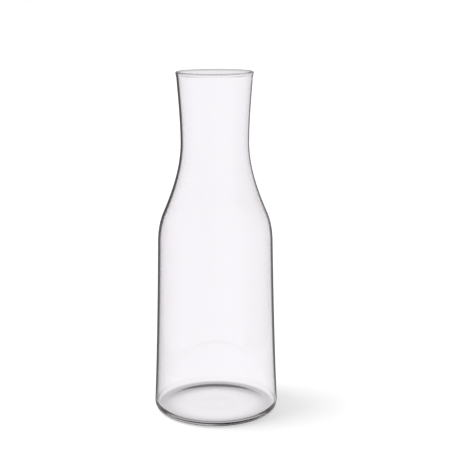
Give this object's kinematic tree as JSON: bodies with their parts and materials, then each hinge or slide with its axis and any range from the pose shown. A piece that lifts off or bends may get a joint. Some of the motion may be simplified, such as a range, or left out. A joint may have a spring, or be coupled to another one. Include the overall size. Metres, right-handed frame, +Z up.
{
  "type": "water carafe",
  "caption": "Plain clear glass carafe with a tapered body, round shoulder, narrow neck and flared mouth, for serving water at the table.",
  "frame": {"origin": "centre of the base, on the surface that the carafe stands on", "axes": "+Z up along the carafe's axis, from the base to the mouth; X and Y are alike, because the carafe is round"},
  "size_m": [0.0952, 0.0952, 0.26],
  "materials": {
    "clear_glass": "clear, colourless, fire-polished"
  },
  "bodies": {
    "root": {"glass_carafe": "clear_glass"}
  },
  "joints": []
}
